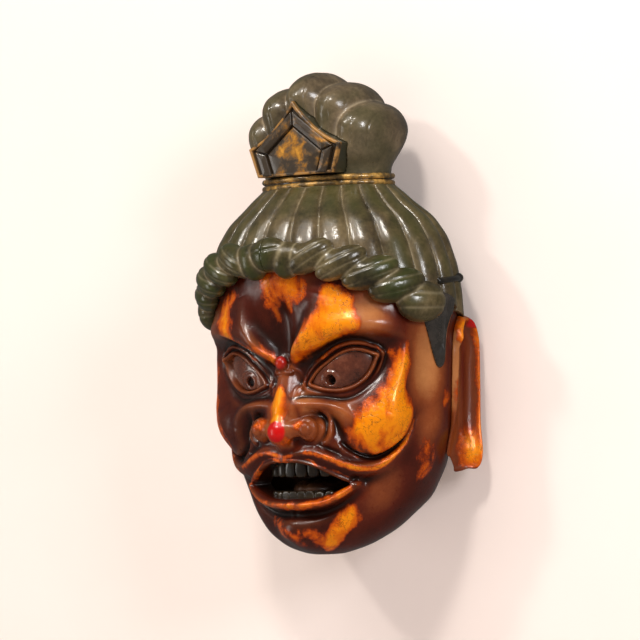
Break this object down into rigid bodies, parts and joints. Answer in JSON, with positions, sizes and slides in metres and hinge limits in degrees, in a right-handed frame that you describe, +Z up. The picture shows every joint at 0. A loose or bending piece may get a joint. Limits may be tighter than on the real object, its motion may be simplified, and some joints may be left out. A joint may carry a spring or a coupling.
{
  "type": "wrathful guardian wall mask",
  "caption": "Carved and lacquered wooden guardian mask with topknot, braided hairline and open mouth, hollow behind, hung from a ring.",
  "frame": {"origin": "the wall nail's centre point in the hanging ring, on the wall plane", "axes": "+Z up, -Y out of the wall along the mask's gaze, +Y through the flat back rim into the wall, +X to the viewer's right"},
  "size_m": [0.1844, 0.1175, 0.305],
  "materials": {
    "face_lacquer": "transparent amber-brown lacquer over gold leaf, high gloss",
    "hair_lacquer": "greenish black lacquer, gloss",
    "black_lacquer": "black lacquer, gloss",
    "gilding": "worn gold leaf over dark lacquer",
    "crown_gilding": "mottled gold leaf with black drawn lines",
    "eye_lacquer": "brown lacquer, high gloss",
    "teeth_lacquer": "dark lacquer, gloss",
    "mouth_lacquer": "dark brown lacquer",
    "bare_wood": "bare carved wood",
    "steel_wire": "zinc plated",
    "brass_strap": "plain",
    "brass_screws": "plain"
  },
  "bodies": {
    "mask": {"face_shell": "face_lacquer", "hair_cap": "hair_lacquer", "topknot": "hair_lacquer", "topknot_cord_lower": "gilding", "topknot_cord_upper": "gilding", "crown_plate": "crown_gilding", "crown_frame": "crown_gilding", "crown_panel": "crown_gilding", "braid_right": "hair_lacquer", "braid_left": "hair_lacquer", "sideburn_right": "black_lacquer", "sideburn_left": "black_lacquer", "braid_tie_right": "black_lacquer", "braid_tie_left": "black_lacquer", "ear_right": "face_lacquer", "ear_left": "face_lacquer", "eye_right": "eye_lacquer", "eye_left": "eye_lacquer", "mouth_board": "mouth_lacquer", "teeth_upper": "teeth_lacquer", "teeth_lower": "teeth_lacquer", "tongue": "mouth_lacquer", "hanging_batten": "bare_wood", "hanger_strap": "brass_strap", "hanger_screws": "brass_screws", "seam_dowels": "bare_wood", "ear_dowels": "bare_wood", "batten_dowels": "bare_wood", "topknot_dowel": "bare_wood", "crown_dowel": "bare_wood"},
    "ring": {"hanging_ring": "steel_wire"}
  },
  "joints": [
    {"name": "ring_hinge", "type": "hinge", "parent": "mask", "child": "ring", "pos_m": [0, -0.0032, -0.0127], "axis": [-1, 0, 0], "range_deg": [-4, 180]}
  ]
}
